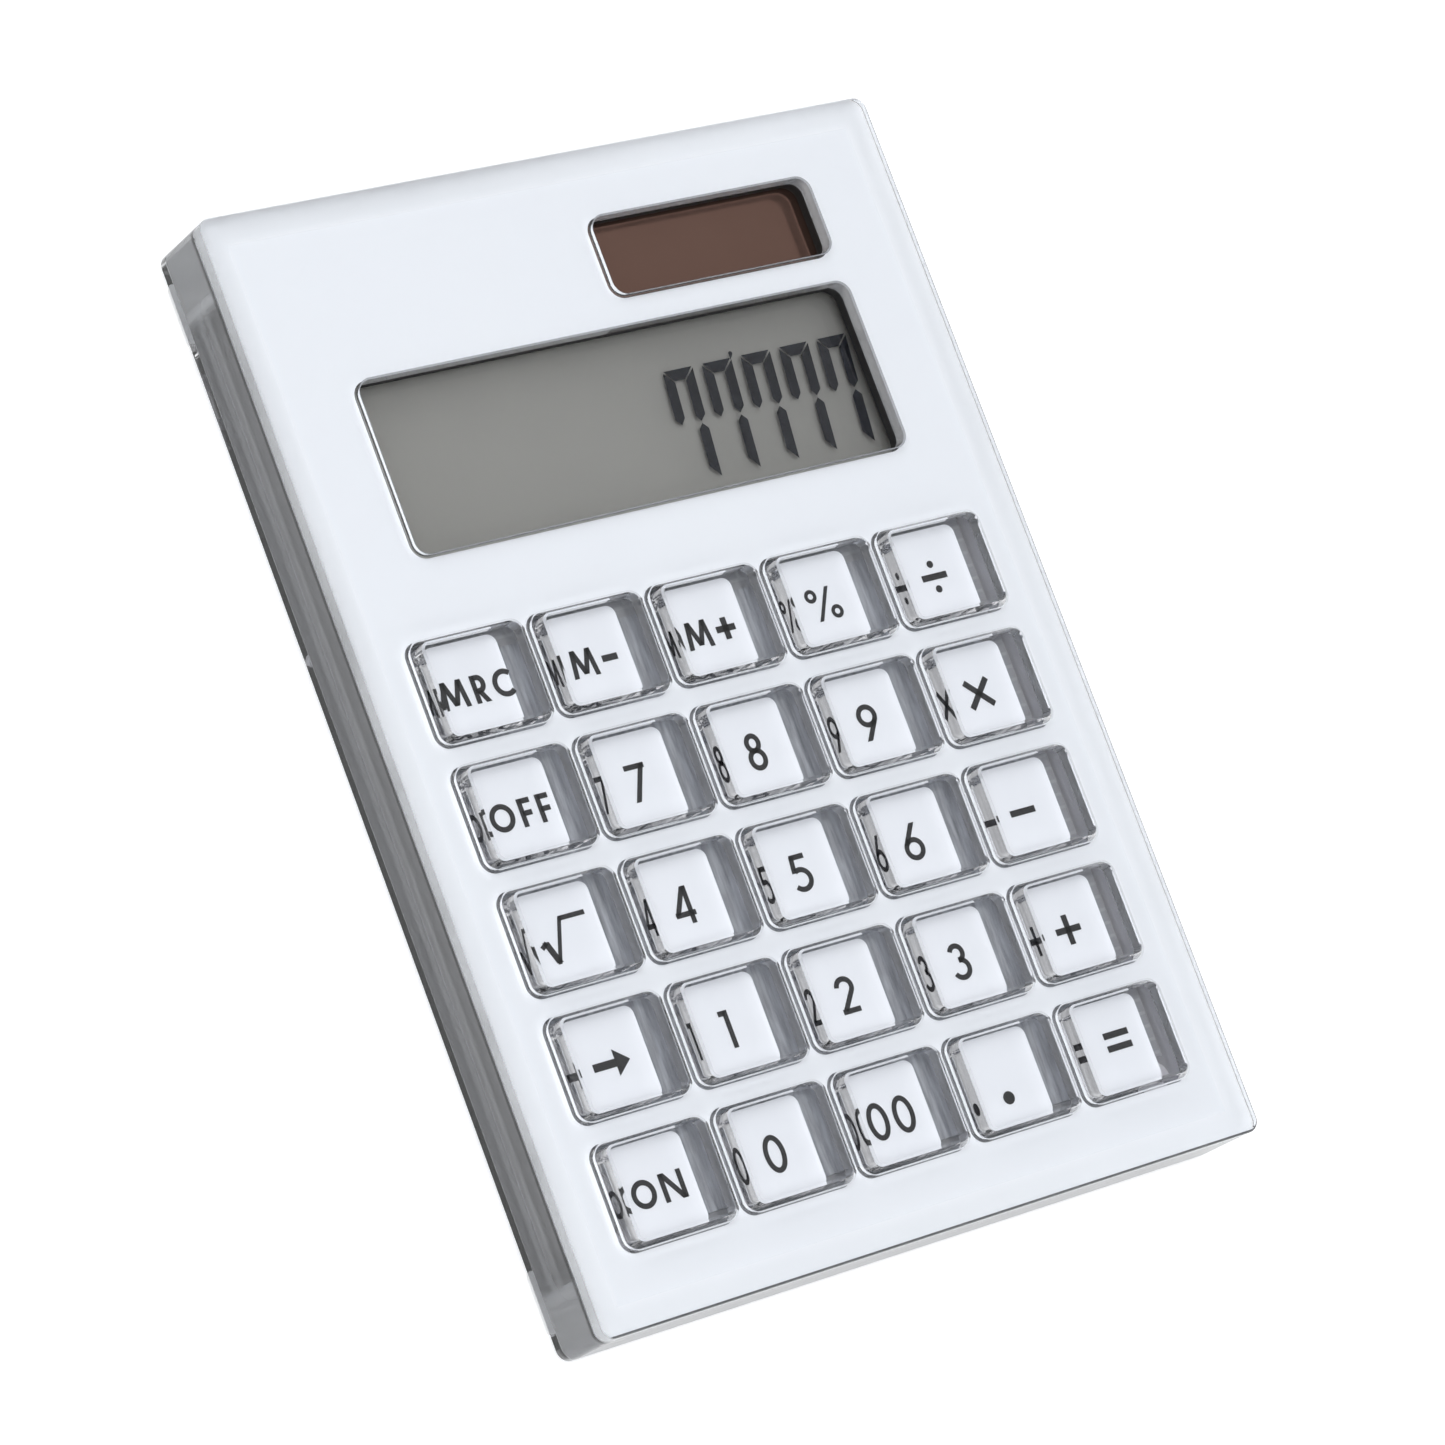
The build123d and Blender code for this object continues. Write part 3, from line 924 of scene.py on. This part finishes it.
def chassis_finish():
    """Grey moulding with painted light and shade: pale within, as painted light; outside, dark as painted
    shade, with a painted light band low down, then a soft painted dark line, then mid grey.
    """
    material, tree, shader, place = start_material("chassis_grey")
    link = tree.links.new
    split = split_vector(tree, place)
    rise = add_node(tree, "ShaderNodeMapRange", From_Min=chassis_line_low, From_Max=chassis_line_high)
    link(split["Z"], rise.inputs["Value"])
    painted_side_bands = tree.nodes.new("ShaderNodeValToRGB")
    painted_side_bands.color_ramp.interpolation = "EASE"
    stops = [(0.0, 0.20), (0.2, 0.55), (0.38, 0.01), (0.46, 0.01), (0.62, 0.16), (1.0, 0.20)]
    marks = painted_side_bands.color_ramp.elements
    while len(marks) < len(stops):
        marks.new(0.5)
    for mark, (place_on_ramp, level) in zip(marks, stops):
        mark.position = place_on_ramp
        mark.color = grey(level, 0.004)
    link(rise.outputs["Result"], painted_side_bands.inputs["Fac"])
    cloud = place_group(tree, mottle_group, Scale=70.0, Dark=grey(0.85), Light=grey(1.1))
    link(place, cloud.inputs["Vector"])
    blend = tree.nodes.new("ShaderNodeVectorMath")
    blend.operation = "MULTIPLY"
    # Painted light and shade: inner faces pale, outer faces dark
    across = math_node(tree, "ABSOLUTE", split["X"])
    within = math_node(tree, "LESS_THAN", across, chassis_lining)
    link(mix_colours(tree, within, painted_side_bands.outputs["Color"], grey(0.70, 0.04)), blend.inputs[0])
    link(cloud.outputs["Color"], blend.inputs[1])
    link(blend.outputs["Vector"], shader.inputs["Base Color"])
    link(spread_value(tree, cloud.outputs["Mask"], 0.38, 0.5), shader.inputs["Roughness"])
    grain = place_group(tree, grain_group, Scale=2600.0)
    link(place, grain.inputs["Vector"])
    add_bump(tree, shader, grain.outputs["Height"], 0.15, grain_depth)
    return material


def print_finish():
    """White print, with painted light along the margin of the film, where it shows through the plate's edge,
    and painted shade on its cut edges, which are near black.
    """
    material = solid_finish(
        "print_white", (0.855, 0.880, 0.912, 1), (0.865, 0.890, 0.922, 1), 30.0, (0.42, 0.5)
    )
    tree = material.node_tree
    base = tree.nodes["Principled BSDF"].inputs["Base Color"]
    place = tree.nodes["Texture Coordinate"].outputs["Object"]
    # Painted light: the film brighter along its margin
    margin = margin_mask(tree, place)
    colour = mix_colours(tree, margin, base.links[0].from_socket, (0.935, 0.962, 0.992, 1))
    # Painted shade: the film's cut edges near black
    tree.links.new(mix_colours(tree, wall_mask(tree), colour, grey(0.02)), base)
    return material


def solar_finish():
    """Brown amorphous film behind its glass: a dark mirror with a soft drift of tone."""
    dark = (0.175, 0.100, 0.078, 1)
    light = (0.200, 0.118, 0.093, 1)
    return solid_finish("solar_film", dark, light, 60.0, (0.10, 0.16), 3000.0, 0.02, metal=0.85)


def board_finish():
    """Blue-grey solder mask with a raised net of tracks."""
    material, tree, shader, place = start_material("board_mask")
    link = tree.links.new
    tracks = tree.nodes.new("ShaderNodeTexBrick")
    tracks.inputs["Scale"].default_value = 120.0
    tracks.inputs["Mortar Size"].default_value = 0.03
    tracks.inputs["Color1"].default_value = (0.29, 0.30, 0.325, 1)
    tracks.inputs["Color2"].default_value = (0.31, 0.32, 0.345, 1)
    tracks.inputs["Mortar"].default_value = (0.36, 0.37, 0.395, 1)
    link(place, tracks.inputs["Vector"])
    link(tracks.outputs["Color"], shader.inputs["Base Color"])
    link(spread_value(tree, tracks.outputs["Fac"], 0.30, 0.42), shader.inputs["Roughness"])
    add_bump(tree, shader, tracks.outputs["Fac"], 0.3, grain_depth)
    return material


# Face plate: cut_shade_and_matt adds painted shade to its window walls and bevels and to its right and near
# outer bevels
plate_clear = clear_finish(
    "plate_acrylic", level=(grey(0.985, 0.01), grey(0.995, 0.005)), outer=(0.90, 0.91, 0.915, 1),
    inner=(grey(0.30, 0.01), grey(1.30, 0.01)), rough=(0.12, 0.05, 0.10),
    streak=(60.0, 60.0, 1500.0), angle=0.7, cut_shade_and_matt=True
)
# Case: outer walls tinted mid grey, painted shade so the sides read darker than the top
case_clear = clear_finish(
    "case_acrylic", level=(grey(0.95, 0.01), grey(0.97, 0.01)), outer=(0.47, 0.48, 0.49, 1),
    inner=(grey(0.50, 0.005), grey(0.68, 0.01)), rough=(0.2, 0.05, 0.6),
    streak=(25.0, 25.0, 500.0), angle=1.4, seam=True
)
cover_clear = clear_finish(
    "cover_acrylic", level=(grey(0.95, 0.01), grey(0.97, 0.01)), outer=(0.86, 0.87, 0.88, 1),
    inner=(grey(0.70, 0.005), grey(0.85, 0.01)), rough=(0.2, 0.03, 0.1),
    streak=(200.0, 200.0, 3000.0), angle=0.2
)
# Keys: the grey of their walls is painted shade, so the strips of wall beside each key read dim; the streaks
# are cutter marks
key_clear = clear_finish(
    "key_acrylic", level=(grey(0.975, 0.01), grey(0.985, 0.01)), outer=grey(0.7, 0.02),
    inner=(grey(0.22, 0.015), grey(1.20, 0.02)), rough=(0.25, 0.05, 0.06),
    streak=(40.0, 40.0, 1300.0), angle=2.2
)
display_clear = clear_finish(
    "display_glass", level=((0.915, 0.91, 0.905, 1), (0.94, 0.935, 0.93, 1)), outer=grey(0.1),
    inner=(grey(0.1), grey(0.2)), rough=(0.05, 0.1, 0.1), streak=(300.0, 300.0, 300.0), angle=0.3
)
polarizer_clear = clear_finish(
    "display_film", level=((0.915, 0.91, 0.905, 1), (0.94, 0.935, 0.93, 1)), outer=grey(0.3),
    inner=(grey(0.3), grey(0.4)), rough=(0.05, 0.1, 0.1), streak=(300.0, 300.0, 300.0), angle=1.1
)
polarizer_clear.node_tree.nodes["Principled BSDF"].inputs["IOR"].default_value = film_ior
print_white = print_finish()
key_white = solid_finish("key_white", (0.865, 0.890, 0.925, 1), (0.885, 0.905, 0.940, 1), 60.0, (0.42, 0.5))
legend_black = solid_finish("legend_black", grey(0.008, 0.002), grey(0.014, 0.003), 900.0, (0.4, 0.55))
figure_dark = solid_finish(
    "figure_dark", (0.006, 0.010, 0.022, 1), (0.010, 0.014, 0.030, 1), 400.0, (0.5, 0.6)
)

FINISHES = {
    "clear_case": case_clear,
    "back_cover": cover_clear,
    "face_plate": plate_clear,
    "face_backing": print_white,
    "inner_chassis": chassis_finish(),
    "case_screws": solid_finish(
        "screw_steel", grey(0.48), grey(0.66), 900.0, (0.22, 0.36), 6000.0, 0.06, metal=1.0
    ),
    "feet": solid_finish("foot_rubber", grey(0.84), grey(0.90), 300.0, (0.5, 0.65), 3500.0, 0.1),
    "button_cell": solid_finish(
        "cell_steel", grey(0.60), grey(0.74), 500.0, (0.18, 0.3), 7000.0, 0.05, metal=1.0
    ),
    "circuit_board": board_finish(),
    "controller_chip": solid_finish("chip_resin", grey(0.012), grey(0.02), 400.0, (0.25, 0.4), 1800.0, 0.1),
    "rubber_keypad": solid_finish(
        "mat_silicone", (0.018, 0.021, 0.030, 1), (0.58, 0.61, 0.67, 1), 160.0, (0.5, 0.62), 3200.0, 0.1,
        draw=9.0
    ),
    "lcd_polarizer": polarizer_clear,
    "lcd_glass": display_clear,
    "lcd_reflector": solid_finish(
        "display_mirror", (0.555, 0.56, 0.545, 1), (0.605, 0.61, 0.595, 1), 24.0, (0.56, 0.62), 5200.0,
        0.03, metal=0.75
    ),
    # Display and solar gasket: near black, painted shade for the gap under the plate round both windows
    "lcd_gasket": solid_finish("gasket_black_painted_shade", grey(0.006), grey(0.012), 900.0, (0.75, 0.9), 4200.0, 0.5),
    "lcd_ribbon": solid_finish("ribbon_film", grey(0.30), grey(0.38), 150.0, (0.3, 0.4)),
    "solar_cell": solar_finish(),
    "capacitor": solid_finish(
        "capacitor_can", grey(0.5), grey(0.62), 500.0, (0.3, 0.4), 5000.0, 0.08, metal=0.9
    ),
    "board_resistors": solid_finish(
        "resistor_body", grey(0.02), grey(0.05), 900.0, (0.4, 0.5), 4000.0, 0.1
    ),
}

# Nodes that share the finish of another
FINISH_COPIES = {
    "battery_door": "back_cover",
    "battery_door_screw": "case_screws",
    "board_screws": "case_screws",
    "battery_contact_negative": "button_cell",
    "battery_contact_positive": "button_cell",
    "solar_gasket": "lcd_gasket",
    "solar_leads": "case_screws",
}


def dress_cad():
    """Gives every CAD node its finish."""
    for name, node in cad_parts.items():
        material = key_clear if name in LEGENDS else FINISHES[FINISH_COPIES.get(name, name)]
        node.data.materials.clear()
        node.data.materials.append(material)


# Pieces


def node_middle(name):
    """Middle of a node's box, seen from above."""
    low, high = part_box(name)
    return (low.x + high.x) / 2, (low.y + high.y) / 2


def flat_spline(curve, outline):
    """Adds a closed outline to a flat curve."""
    spline = curve.splines.new("POLY")
    spline.points.add(len(outline) - 1)
    values = np.column_stack([outline, np.zeros(len(outline)), np.ones(len(outline))])
    spline.points.foreach_set("co", values.ravel())
    spline.use_cyclic_u = True


def flat_sheet(name, outlines, low, high, material):
    """Sheet on the calculator's body: the first outline filled, the others cut out of it."""
    curve = bpy.data.curves.new(name, "CURVE")
    curve.dimensions = "2D"
    curve.fill_mode = "BOTH"
    curve.extrude = (high - low) / 2
    for outline in outlines:
        flat_spline(curve, outline)
    holder = bpy.data.objects.new(name, curve)
    scene.collection.objects.link(holder)
    mesh = bpy.data.meshes.new_from_object(holder)
    bpy.data.objects.remove(holder)
    mesh.transform(Matrix.Translation((0, 0, (low + high) / 2)))
    mesh.materials.clear()
    mesh.materials.append(material)
    piece = bpy.data.objects.new(name, mesh)
    scene.collection.objects.link(piece)
    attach(piece, "calculator")
    return piece


def opening(width, length, corner, at):
    """Outline of a hole in the film, set back from the hole in the plate."""
    return rounded_outline(width + 2 * film_setback, length + 2 * film_setback, corner + film_setback, at)


def make_face_print():
    """White film, loose under the plate, with a hole for every key and window."""
    low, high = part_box("face_backing")
    width = 2 * (plate_half_width - film_rim)
    length = 2 * (plate_half_length - film_rim)
    outlines = [rounded_outline(width, length, plate_corner - film_rim)]
    for name in LEGENDS:
        outlines.append(opening(hole_width, hole_length, hole_corner, node_middle(name)))
    outlines.append(opening(lcd_window_width, lcd_window_length, window_corner, lcd_middle))
    outlines.append(opening(solar_window_width, solar_window_length, window_corner, solar_middle))
    sheet = flat_sheet("face_print", outlines, low.z + film_air, high.z - film_air, print_white)
    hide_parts("face_backing")


def make_loose_copy(name, material, top_drop, bottom_drop):
    """Stands for a piece that touches a clear one: its top and bottom drop by a hair, or rise."""
    low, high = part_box(name)
    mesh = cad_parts[name].data.copy()
    shape = bmesh.new()
    shape.from_mesh(mesh)
    bmesh.ops.remove_doubles(shape, verts=shape.verts, dist=0.001 * mm)
    for point in shape.verts:
        share = (point.co.z - low.z) / (high.z - low.z)
        point.co.z -= share * top_drop + (1 - share) * bottom_drop
    shape.to_mesh(mesh)
    shape.free()
    mesh.materials.clear()
    mesh.materials.append(material)
    piece = bpy.data.objects.new("loose_" + name, mesh)
    scene.collection.objects.link(piece)
    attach(piece, "calculator")
    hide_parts(name)


def dome_profile(base):
    """Bell of a rubber dome, from its foot to its crown: a straight flank and a rounded shoulder."""
    flank_top = (dome_crown + dome_shoulder, dome_height - 2 * dome_shoulder)
    flank = [(dome_foot, -rest_bite), (dome_foot, 0.0), flank_top]
    turn = np.linspace(0, math.pi / 2, 6)
    radii = dome_crown + dome_shoulder * np.cos(turn)
    heights = dome_height - dome_shoulder * (1 - np.sin(turn))
    shoulder = list(zip(radii, heights))
    return [(radius, base + height) for radius, height in flank + shoulder]


def make_keypad():
    """Rubber mat, and on it a dome under every key."""
    low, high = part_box("rubber_keypad")
    mat_top = high.z - dome_height
    middle = node_middle("rubber_keypad")
    outline = rounded_outline(high.x - low.x, high.y - low.y, mat_corner, middle)
    rubber = FINISHES["rubber_keypad"]
    mat = put_mesh("keypad_mat", [slab(outline, low.z, mat_top)], "calculator", rubber)
    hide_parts("rubber_keypad")
    for name in LEGENDS:
        x, y = node_middle(name)
        block = turned(dome_profile(mat_top), (x, y))
        dome = put_mesh(name + "_dome", [block], "calculator", rubber)
        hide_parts("rubber_keypad")
        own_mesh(dome)


def make_key_print(name):
    """Black legend printed under one clear key, and the white pad that lies loose beneath it."""
    low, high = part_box(name)
    x, y = node_middle(name)
    pad = rounded_outline(pad_width, pad_length, pad_corner, (x + pad_shift, y))
    pad_block = slab(pad, low.z + pad_low, low.z + pad_high)
    put_mesh(name + "_pad", [pad_block], name, key_white)
    move = LEGEND_MOVES.get(name, (0.0, 0.0))
    at = np.array([x, y]) + legend_shift + np.array(move) * mm
    bottom = low.z + legend_low
    top = low.z + legend_high
    blocks = []
    for points, width, closed, ends in legend_bands(LEGENDS[name]):
        blocks.append(band(points * mm + at, np.asarray(width) * mm, bottom, top, closed, ends))
    put_mesh(name + "_legend", blocks, name, legend_black)


def lean(points, left):
    """Slants a figure's points to the right, in step with their height above its foot."""
    points = np.asarray(points, float)
    x = left + points[:, 0] + figure_slant * points[:, 1]
    return np.column_stack([x, figure_low + points[:, 1]])


def segment_outlines(left):
    """Four lit segments of one figure: the top bar, both upper uprights and the lower right one."""
    width = figure_width
    height = figure_high - figure_low
    waist = height / 2
    thick = segment_width
    gap = segment_gap
    point = thick * segment_point
    top = [
        (gap, height),
        (thick + gap * 0.4, height - thick),
        (width - thick - gap * 0.4, height - thick),
        (width - gap, height),
    ]
    upper_left = [
        (0, height - gap * 1.6),
        (0, waist + gap + point),
        (point, waist + gap),
        (thick, waist + gap + point),
        (thick, height - thick - gap * 1.6),
    ]
    upper_right = [(width - x, y) for x, y in upper_left[::-1]]
    lower_right = [
        (width - point, waist - gap),
        (width - thick, waist - gap - point),
        (width - thick, thick * 1.1),
        (width, 0),
        (width, waist - gap - point),
    ]
    return [lean(outline, left) for outline in (top, upper_left, upper_right, lower_right)]


def make_figures():
    """Dark figures in the layer between the two sheets of the display glass."""
    low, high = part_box("lcd_glass")
    base = (low.z + high.z) / 2
    blocks = []
    for place in range(figure_count):
        for outline in segment_outlines(figure_left + place * figure_pitch):
            blocks.append(slab(outline * mm, base - ink_rise, base + ink_rise))
    tick = arc(tick_place, (tick_radius, tick_radius), -20, 200, 10)
    tick = np.vstack([tick, np.array(tick_place) - tick_tail])
    blocks.append(slab(tick * mm, base - ink_rise, base + ink_rise))
    put_mesh("display_figures", blocks, "calculator", figure_dark)


# Floor, light and camera


def make_floor():
    """Pale floor that meets the white world, with the object's shadow left on it."""
    reach = floor_reach
    mesh = bpy.data.meshes.new("floor")
    corners = [(-reach, -reach, 0), (reach, -reach, 0), (reach, reach, 0), (-reach, reach, 0)]
    mesh.from_pydata(corners, [], [(0, 1, 2, 3)])
    floor = bpy.data.objects.new("floor", mesh)
    floor.location.z = -floor_drop
    scene.collection.objects.link(floor)
    material, tree, shader, place = start_material("floor_white")
    link = tree.links.new
    cloud = place_group(tree, mottle_group, Scale=3.0, Dark=grey(0.90), Light=grey(0.92))
    link(place, cloud.inputs["Vector"])
    link(cloud.outputs["Color"], shader.inputs["Base Color"])
    shader.inputs["Roughness"].default_value = 0.9
    shader.inputs["Specular IOR Level"].default_value = 0.0
    path = tree.nodes.new("ShaderNodeLightPath")
    through = math_node(tree, "MAXIMUM", path.outputs["Is Glossy Ray"], path.outputs["Is Transmission Ray"])
    glow = math_node(tree, "MULTIPLY", through, floor_glow)
    seen = math_node(tree, "MULTIPLY", path.outputs["Is Camera Ray"], floor_glow_seen)
    shader.inputs["Emission Color"].default_value = (1, 1, 1, 1)
    link(math_node(tree, "ADD", glow, seen), shader.inputs["Emission Strength"])
    mesh.materials.append(material)


def make_world():
    """Soft light that is brighter on one side, white low down, and plain white to the camera."""
    world = bpy.data.worlds.new("soft_white")
    scene.world = world
    world.use_nodes = True
    tree = world.node_tree
    tree.nodes.clear()
    link = tree.links.new
    place = tree.nodes.new("ShaderNodeTexCoord")
    facing = tree.nodes.new("ShaderNodeVectorMath")
    facing.operation = "DOT_PRODUCT"
    facing.inputs[1].default_value = light_side
    link(place.outputs["Generated"], facing.inputs[0])
    slope = add_node(tree, "ShaderNodeMapRange", From_Min=sky_turn[0], From_Max=sky_turn[1])
    slope.interpolation_type = "SMOOTHSTEP"
    slope.inputs["To Min"].default_value = sky_dim
    slope.inputs["To Max"].default_value = sky_bright
    link(facing.outputs["Value"], slope.inputs["Value"])
    height = add_node(tree, "ShaderNodeMapRange", From_Min=sky_low[0], From_Max=sky_low[1])
    height.interpolation_type = "SMOOTHSTEP"
    link(split_vector(tree, place.outputs["Generated"])["Z"], height.inputs["Value"])
    level = tree.nodes.new("ShaderNodeMix")
    level.inputs["A"].default_value = 1.0
    link(height.outputs["Result"], level.inputs["Factor"])
    link(slope.outputs["Result"], level.inputs["B"])
    light = add_node(tree, "ShaderNodeBackground", Color=sky_tint)
    link(level.outputs["Result"], light.inputs["Strength"])
    white = add_node(tree, "ShaderNodeBackground", Strength=1.0)
    path = tree.nodes.new("ShaderNodeLightPath")
    mix = tree.nodes.new("ShaderNodeMixShader")
    output = tree.nodes.new("ShaderNodeOutputWorld")
    link(path.outputs["Is Camera Ray"], mix.inputs["Fac"])
    link(light.outputs["Background"], mix.inputs[1])
    link(white.outputs["Background"], mix.inputs[2])
    link(mix.outputs["Shader"], output.inputs["Surface"])


def make_lamp(name, place, target, size, power):
    """Round lamp that looks at a target."""
    lamp = bpy.data.lights.new(name, "AREA")
    lamp.shape = "DISK"
    lamp.size = size
    lamp.energy = power
    holder = bpy.data.objects.new(name, lamp)
    holder.location = place
    holder.rotation_euler = (Vector(target) - Vector(place)).to_track_quat("-Z", "Y").to_euler()
    scene.collection.objects.link(holder)


def make_camera():
    """Camera of the photograph."""
    camera = bpy.data.cameras.new("camera")
    camera.sensor_width = sensor_width
    camera.lens = camera_lens
    camera.clip_start = camera_near
    holder = bpy.data.objects.new("camera", camera)
    turn = np.column_stack([camera_right, camera_up, camera_back])
    holder.matrix_world = Matrix.Translation(camera_place.tolist()) @ Matrix(turn.tolist()).to_4x4()
    scene.collection.objects.link(holder)
    scene.camera = holder


dress_cad()
make_face_print()
make_loose_copy("back_cover", cover_clear, rest_air, 0.0)
make_loose_copy("lcd_glass", display_clear, rest_air, rest_bite)
make_loose_copy("feet", FINISHES["feet"], -rest_air - rest_bite, 0.0)
for key_name in LEGENDS:
    make_key_print(key_name)
make_keypad()
make_figures()
make_floor()
make_world()
make_lamp("overhead", lamp_place, (0, 0, 0), lamp_size, lamp_power)
make_camera()

scene.view_settings.view_transform = "Standard"
scene.cycles.blur_glossy = 0.0
scene.cycles.max_bounces = 24
scene.cycles.diffuse_bounces = 6
scene.cycles.glossy_bounces = 16
scene.cycles.transmission_bounces = 24
